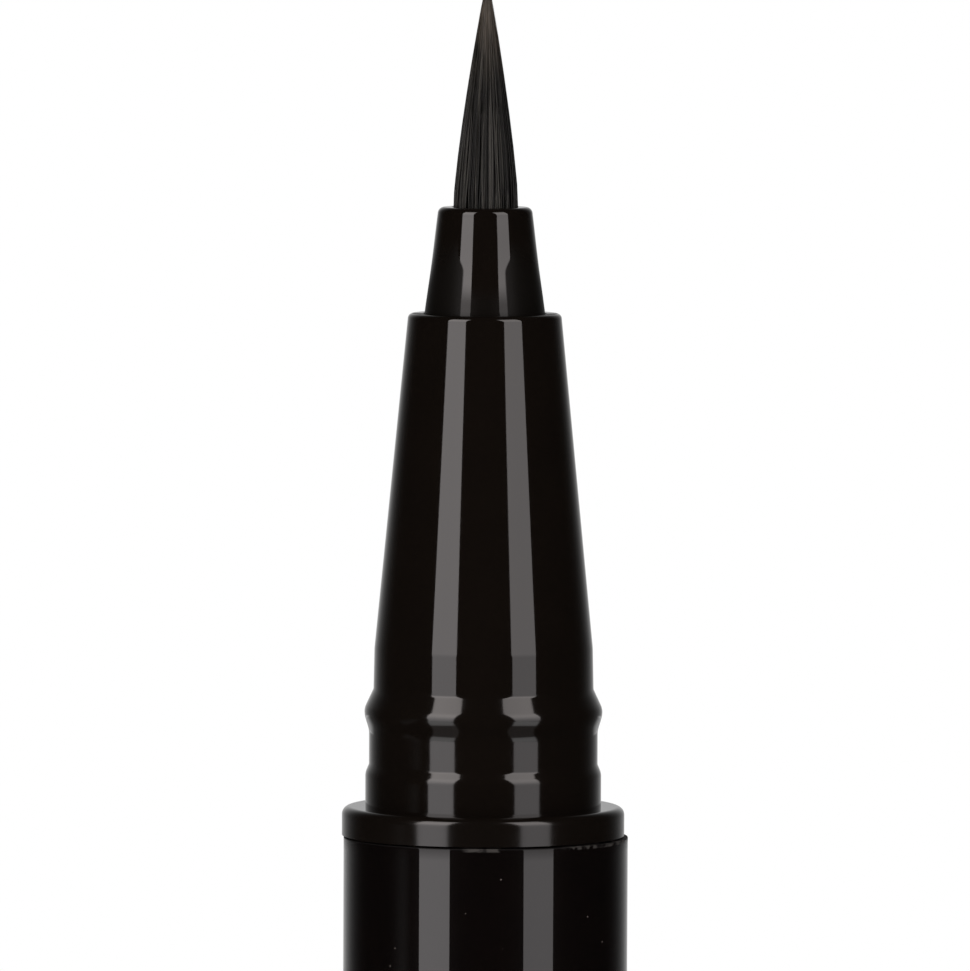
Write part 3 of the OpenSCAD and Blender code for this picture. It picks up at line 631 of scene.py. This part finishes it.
# %% One spring
bpy.ops.object.select_all(action="DESELECT")
for run in runs:
    run.select_set(True)
bpy.context.view_layer.objects.active = runs[0]
bpy.ops.object.join()
spring = bpy.context.object
spring.name = "seal_cup_spring"
bpy.ops.object.mode_set(mode="EDIT")
bpy.ops.mesh.select_all(action="SELECT")
bpy.ops.mesh.remove_doubles(threshold=0.005 * MM)
bpy.ops.mesh.select_all(action="DESELECT")
bpy.ops.mesh.select_non_manifold()
bpy.ops.mesh.edge_face_add()
bpy.ops.mesh.select_all(action="SELECT")
bpy.ops.mesh.normals_make_consistent(inside=False)
bpy.ops.object.mode_set(mode="OBJECT")
bpy.ops.object.shade_smooth_by_angle(angle=math.radians(50))
belongs(spring, "cap", "spring_steel", wire_steel, "seal_spring")
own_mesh(spring)

# %% [markdown]
# ## The brush
# The brush is a bundle of tapered filaments, fused at the root. One filament is modelled: a small polygon
# that is extruded and drawn in at each step, to a point. It is copied 780 times, and each copy is led along
# its own way, from its place at the root to where it meets the brush's outline. Places at the root follow
# the golden angle, which packs a disc evenly. The lengths step through another even sequence, so that long
# and short filaments lie side by side all round. With the same sequence for both, one side of the brush
# would be bare. A dark core fills the space between them.

# %% One filament
brush_r, brush_len, profile = 1.215, 8.65, 1.3
filament_count, rings, sides = 780, 6, 5
bpy.ops.object.select_all(action="DESELECT")
bpy.ops.mesh.primitive_circle_add(vertices=sides, radius=1, fill_type="NGON")
strand = bpy.context.object
strand.name = "filament"
bpy.ops.object.mode_set(mode="EDIT")
for k in range(rings):
    bpy.ops.mesh.extrude_region_move(TRANSFORM_OT_translate={"value": (0, 0, 1)})
bpy.ops.mesh.merge(type="CENTER")
bpy.ops.object.mode_set(mode="OBJECT")
print("A filament has", len(strand.data.polygons), "faces")

# %% The way that a filament takes
sunk, taper = 0.5, 0.75


def outline_r(t):
    """The brush's radius at a share of its length."""
    return brush_r * (1 - t ** profile)


def drift(t):
    """How far the brush stands to the right, as in the photograph."""
    return 0.02 + 0.04 * t


def lead(mesh, place, turn_by, bend, last, thick):
    """Bend one filament from its place at the root to the share of the length where it ends."""
    for point in mesh.vertices:
        s = min(point.co.z / rings, 1)
        h = s * last * (brush_len + sunk) - sunk
        t = max(h / brush_len, 0)
        half = thick * (1 - taper * t) * (1 - s ** 5)
        r = place * max(outline_r(t) - half, 0)
        a = turn_by + bend * math.sin(math.pi * s)
        x = r * math.cos(a) + half * point.co.x + drift(t)
        y = r * math.sin(a) + half * point.co.y
        point.co = (x * MM, y * MM, (nozzle_mouth + h) * MM)


def give_tone(mesh, value):
    for item in mesh.attributes.new("tone", "FLOAT", "POINT").data:
        item.value = value


print("At half length the brush is", round(2 * outline_r(0.5), 2), "mm across")

# %% Lead each copy along its way
random.seed(7)
golden_angle, even_step = math.radians(137.508), 0.7548777
shortest, longest, shortening = 0.5, 0.995, 0.82
filaments = []
for k in range(filament_count):
    copy = strand.copy()
    copy.data = strand.data.copy()
    bpy.context.collection.objects.link(copy)
    left_out = shortening * (k * even_step % 1)
    last = min(max(shortest, (1 - left_out) ** (1 / profile)), longest)
    place = min(((k + 0.5) / filament_count) ** 0.4 * 1.03, 1) * random.uniform(0.97, 1)
    turn_by = k * golden_angle + random.uniform(-0.07, 0.07)
    bend = random.uniform(-0.1, 0.1)
    lead(copy.data, place, turn_by, bend, last, thick=random.uniform(0.028, 0.05))
    give_tone(copy.data, random.random() ** 4)
    filaments.append(copy)
bpy.data.objects.remove(strand)
print("Led", len(filaments), "filaments")

# %% The dark core and the fused root
core_start, core_share, core_end, core_tip = nozzle_mouth - 0.6, 0.88, 0.97, 0.975
core_outline = [[0, core_start], [brush_r - 0.06, core_start]]
for k in range(21):
    t = core_end * k / 20
    core_outline.append([core_share * outline_r(t), nozzle_mouth + t * brush_len])
core_outline.append([0, nozzle_mouth + core_tip * brush_len])
core = turn("brush_core", core_outline, steps=40)
for point in core.data.vertices:
    t = max((point.co.z / MM - nozzle_mouth) / brush_len, 0)
    point.co.x += drift(t) * MM
give_tone(core.data, 0.05)

root_back, stub_top = root - 0.8, nozzle_mouth - 0.35
root_stub = turn("brush_root", [
    [0, root_back], [stem_bore_r, root_back], [stem_bore_r, root], [brush_r, root], [brush_r, stub_top],
    [0, stub_top]
], steps=64)
give_tone(root_stub.data, 0)

# %% All of it as one brush
bpy.ops.object.select_all(action="DESELECT")
for piece in filaments + [core, root_stub]:
    piece.select_set(True)
bpy.context.view_layer.objects.active = core
bpy.ops.object.join()
brush = bpy.context.object
brush.name = "brush_of_filaments"
bpy.ops.object.mode_set(mode="EDIT")
bpy.ops.mesh.select_all(action="SELECT")
bpy.ops.mesh.normals_make_consistent(inside=False)
bpy.ops.object.mode_set(mode="OBJECT")
bpy.ops.object.shade_smooth_by_angle(angle=math.radians(80))
belongs(brush, "pen", "brush_fibre", fibre, "brush_tip")
print("The brush has", len(brush.data.polygons), "faces")

# %% [markdown]
# ## The hidden pieces
# The rest is sealed inside the pen. The construction model's own pieces have the right shape, so they stay
# and only get their materials.

# %% Materials for the hidden pieces
hidden = {
    "root_retainer": natural_pp, "feed_wick": bonded, "ink_collector": comb_abs, "front_o_ring": rubber,
    "ball_guard": natural_pp, "ink_tank": natural_pp, "tail_o_ring": rubber, "mixing_ball": ball_steel,
}
for name, material in hidden.items():
    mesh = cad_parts[name].data
    mesh.materials.clear()
    mesh.materials.append(material)
print("Dressed", len(hidden), "hidden pieces")

# %% [markdown]
# ## The studio
# Two tall, narrow softboxes stand to the left and the right of the camera. In the gloss they become the two
# upright light strips, and where they start and end in angle gives the strips their place and width. They
# lean in, so the strips widen on slopes, and they are darker towards the foot.

# %% The softboxes
distance, panel_length, pivot_height, below_pivot = 0.64, 0.72, 0.12, 0.11


def softbox(name, angle, width, level, foot, lean, roll):
    """angle goes round from the camera's side to the right. The panel leans towards the pen from its foot,
    and foot is its level there as a share of the level at its middle."""
    bpy.ops.object.light_add(type="AREA")
    lamp = bpy.context.object
    lamp.name = name
    lamp.data.shape = "RECTANGLE"
    lamp.data.size, lamp.data.size_y = width, panel_length
    lamp.data.energy = level * math.pi * width * panel_length
    a = math.radians(angle)
    turned = (Matrix.Rotation(a, 3, "Z") @ Matrix.Rotation(math.radians(90 - lean), 3, "X")
              @ Matrix.Rotation(math.radians(roll), 3, "Z"))
    pivot = Vector((distance * math.sin(a), -distance * math.cos(a), pivot_height))
    lamp.location = pivot + turned @ Vector((0, panel_length / 2 - below_pivot, 0))
    lamp.rotation_euler = turned.to_euler()
    lamp.visible_camera = False
    lamp.data.use_nodes = True
    tree = lamp.data.node_tree
    place = add(tree, "ShaderNodeNewGeometry").outputs["Position"]
    up = add(tree, "ShaderNodeSeparateXYZ", {"Vector": place}).outputs["Z"]
    lower = add(tree, "ShaderNodeMapRange", {
        "Value": up, "From Min": 0.04, "From Max": 0.42}, interpolation_type="SMOOTHSTEP")
    rising = add(tree, "ShaderNodeMapRange", {"Value": lower, "To Min": foot})
    upper = add(tree, "ShaderNodeMapRange", {
        "Value": up, "From Min": 0.42, "From Max": 0.85, "To Min": 1, "To Max": 0.5})
    strength = add(tree, "ShaderNodeMath", {0: rising, 1: upper}, operation="MULTIPLY")
    warmth = add(tree, "ShaderNodeMix", {
        "Factor": lower, "A": (1, 0.955, 0.965, 1), "B": (1, 0.93, 0.91, 1)}, data_type="RGBA")
    emission = tree.nodes["Emission"]
    tree.links.new(strength.outputs["Value"], emission.inputs["Strength"])
    tree.links.new(warmth.outputs["Result"], emission.inputs["Color"])


softbox("softbox_left", angle=-42.2, width=0.305, level=4.6, foot=0.49, lean=16, roll=1.2)
softbox("softbox_right", angle=43.4, width=0.3, level=3.7, foot=0.43, lean=19, roll=2.2)
print("Two softboxes stand")

# %% [markdown]
# ## What the gloss sees of the room
# A pale backdrop behind the pen lights its edges at a grazing angle, and a little light spills in low at the
# far left. The rest of the room is dark, so the front of the pen stays black.
#
# Light cards lie on the table, the same on the left as on the right. The first runs from the foot of each
# softbox towards the pen and carries its strip down over the bead's underside. Where it ends, that underside
# mirrors bare, dark table, which is the dark line under the bead. The second lies closer in, for views from
# above. The third lies behind the pen, for views from the side and the back.

# %% The level in each direction
# Round the pen, in radians from the camera's side: a card's middle, half width and soft edge. Then, as
# heights of the direction, its far and near edges, and its level at each.
cards = (
    (0.75, 0.22, 0.02, -0.155, -0.49, 1.95, 1.1),
    (0.75, 0.22, 0.02, -0.7, -1.1, 0.9, 0.9),
    (2.76, 0.06, 0.16, -0.11, -1.1, 0.5, 0.5),
)


def room(tree, direction):
    """The node with the level that the gloss sees in a direction."""
    way = add(tree, "ShaderNodeSeparateXYZ", {"Vector": direction})
    across, depth, up = way.outputs["X"], way.outputs["Y"], way.outputs["Z"]
    back = add(tree, "ShaderNodeMath", {0: depth, 1: 0.0}, operation="MAXIMUM")
    backdrop = add(tree, "ShaderNodeMath", {0: back, 1: 6.3}, operation="POWER")
    uneven = add(tree, "ShaderNodeMath", {0: across, 1: -0.15, 2: 0.62}, operation="MULTIPLY_ADD")
    behind = add(tree, "ShaderNodeMath", {0: backdrop, 1: uneven}, operation="MULTIPLY")

    off = add(tree, "ShaderNodeMath", {0: across, 1: 0.94})
    aside = add(tree, "ShaderNodeMath", {0: off}, operation="ABSOLUTE")
    left = add(tree, "ShaderNodeMapRange", {
        "Value": aside, "From Max": 0.06, "To Min": 1, "To Max": 0}, interpolation_type="SMOOTHSTEP")
    low_down = add(tree, "ShaderNodeMapRange", {"Value": up, "From Min": -0.06, "From Max": -0.1})
    in_front = add(tree, "ShaderNodeMath", {0: depth, 1: 0.0}, operation="LESS_THAN")
    low_left = add(tree, "ShaderNodeMath", {0: left, 1: low_down}, operation="MULTIPLY")
    spill = add(tree, "ShaderNodeMath", {0: low_left, 1: in_front}, operation="MULTIPLY")
    faint = add(tree, "ShaderNodeMath", {0: spill, 1: 0.09, 2: 0.004}, operation="MULTIPLY_ADD")

    wide = add(tree, "ShaderNodeMath", {0: across}, operation="ABSOLUTE")
    front = add(tree, "ShaderNodeMath", {0: depth, 1: -1.0}, operation="MULTIPLY")
    round_by = add(tree, "ShaderNodeMath", {0: wide, 1: front}, operation="ARCTAN2")
    lit = add(tree, "ShaderNodeMath", {0: behind, 1: faint})
    for middle, half, soft, far, near, far_level, near_level in cards:
        gap = add(tree, "ShaderNodeMath", {0: round_by, 1: middle}, operation="SUBTRACT")
        apart = add(tree, "ShaderNodeMath", {0: gap}, operation="ABSOLUTE")
        within = add(tree, "ShaderNodeMapRange", {
            "Value": apart, "From Min": half, "From Max": half + soft, "To Min": 1, "To Max": 0})
        starts = add(tree, "ShaderNodeMapRange", {"Value": up, "From Min": far, "From Max": far - 0.015})
        ends = add(tree, "ShaderNodeMapRange", {"Value": up, "From Min": near, "From Max": near + 0.05})
        paper = add(tree, "ShaderNodeMapRange", {
            "Value": up, "From Min": near, "From Max": far, "To Min": near_level, "To Max": far_level})
        length = add(tree, "ShaderNodeMath", {0: starts, 1: ends}, operation="MULTIPLY")
        card = add(tree, "ShaderNodeMath", {0: within, 1: length}, operation="MULTIPLY")
        lit = add(tree, "ShaderNodeMath", {0: card, 1: paper, 2: lit}, operation="MULTIPLY_ADD")
    return lit


print("The gloss sees", len(cards), "pairs of cards")

# %% [markdown]
# The camera sees a white room. What the pen reflects is the level above, and everything else gets an even,
# dimmer light.

# %% The room: white to the camera, and its own level to the gloss
world = bpy.data.worlds.new("studio")
bpy.context.scene.world = world
world.use_nodes = True
tree = world.node_tree
tree.nodes.clear()
level = room(tree, add(tree, "ShaderNodeTexCoord").outputs["Generated"])
ray = add(tree, "ShaderNodeLightPath")
glossy = add(tree, "ShaderNodeMix", {"Factor": ray.outputs["Is Glossy Ray"], "A": 0.3, "B": level})
clear = add(tree, "ShaderNodeMath", {
    0: ray.outputs["Is Camera Ray"], 1: ray.outputs["Is Transmission Ray"]}, operation="MAXIMUM")
shown = add(tree, "ShaderNodeMix", {"Factor": clear, "A": glossy, "B": 1.0})
light = add(tree, "ShaderNodeBackground", {"Color": (1, 1, 1, 1), "Strength": shown})
add(tree, "ShaderNodeOutputWorld", {"Surface": light})
print("The room is lit")

# %% [markdown]
# The floor is matt white paper to the camera, and glows white further out, where it meets the white room. In
# the pen's reflections it has the room's level, seen from the height of the cone, and at a grazing angle the
# sheen of smooth paper, so that the light strips run on down to the cap.

# %% The floor
floor_r, seen_from = 0.9, 0.13
bpy.ops.object.select_all(action="DESELECT")
bpy.ops.mesh.primitive_circle_add(vertices=96, radius=floor_r, fill_type="NGON")
floor = bpy.context.object
floor.name = "studio_floor"
paper, tree, place = begin("Matt white paper")
spread = add(tree, "ShaderNodeVectorMath", {0: place}, operation="LENGTH")
fade = add(tree, "ShaderNodeMapRange", {
    "Value": spread, "From Min": 0.1, "From Max": 0.6, "To Min": 0.4}, interpolation_type="SMOOTHSTEP")
tooth = add(tree, "ShaderNodeTexNoise", {"Vector": place, "Scale": per_mm(0.8), "Detail": 2})
shade = add(tree, "ShaderNodeMix", {
    "Factor": tooth, "A": linear("#f2f2f1"), "B": linear("#f8f8f7")}, data_type="RGBA")
matt = add(tree, "ShaderNodeBsdfDiffuse", {"Color": shade})
white = add(tree, "ShaderNodeEmission", {"Color": (1, 1, 1, 1), "Strength": 1.0})
seen = add(tree, "ShaderNodeLightPath")
share = add(tree, "ShaderNodeMath", {0: fade, 1: seen.outputs["Is Camera Ray"]}, operation="MULTIPLY")
to_camera = add(tree, "ShaderNodeMixShader", {0: share, 1: matt, 2: white})
from_pen = add(tree, "ShaderNodeVectorMath", {0: place, 1: (0, 0, seen_from)}, operation="SUBTRACT")
direction = add(tree, "ShaderNodeVectorMath", {0: from_pen}, operation="NORMALIZE")
dim = add(tree, "ShaderNodeEmission", {"Strength": room(tree, direction)})
sheen = add(tree, "ShaderNodeBsdfGlossy", {"Roughness": 0.08})
grazing = add(tree, "ShaderNodeFresnel", {"IOR": 1.6})
in_gloss = add(tree, "ShaderNodeMixShader", {0: grazing, 1: dim, 2: sheen})
either = add(tree, "ShaderNodeMixShader", {0: seen.outputs["Is Glossy Ray"], 1: to_camera, 2: in_gloss})
add(tree, "ShaderNodeOutputMaterial", {"Surface": either})
floor.data.materials.append(paper)
print("The floor is", 2 * floor_r, "m across")

# %% [markdown]
# The camera stands 0.46 m away and looks down at the cone by 3.6 degrees, with a long lens.

# %% The camera
away, down, roll = 0.46, math.radians(3.6), math.radians(0.2)
bpy.ops.object.camera_add()
camera = bpy.context.object
camera.name = "studio_camera"
camera.data.sensor_width = 36
camera.data.sensor_fit = "HORIZONTAL"
camera.data.lens = 463
camera.data.clip_start = 0.01
aim = Vector((0.028 * MM, 0, 136.04 * MM))
camera.location = aim + away * Vector((0, -math.cos(down), math.sin(down)))
turned = Matrix.Rotation(math.pi / 2 - down, 3, "X") @ Matrix.Rotation(roll, 3, "Z")
camera.rotation_euler = turned.to_euler()
bpy.context.scene.camera = camera
bpy.context.scene.view_settings.view_transform = "Standard"
print("The camera is", round(camera.location.z, 4), "m up")
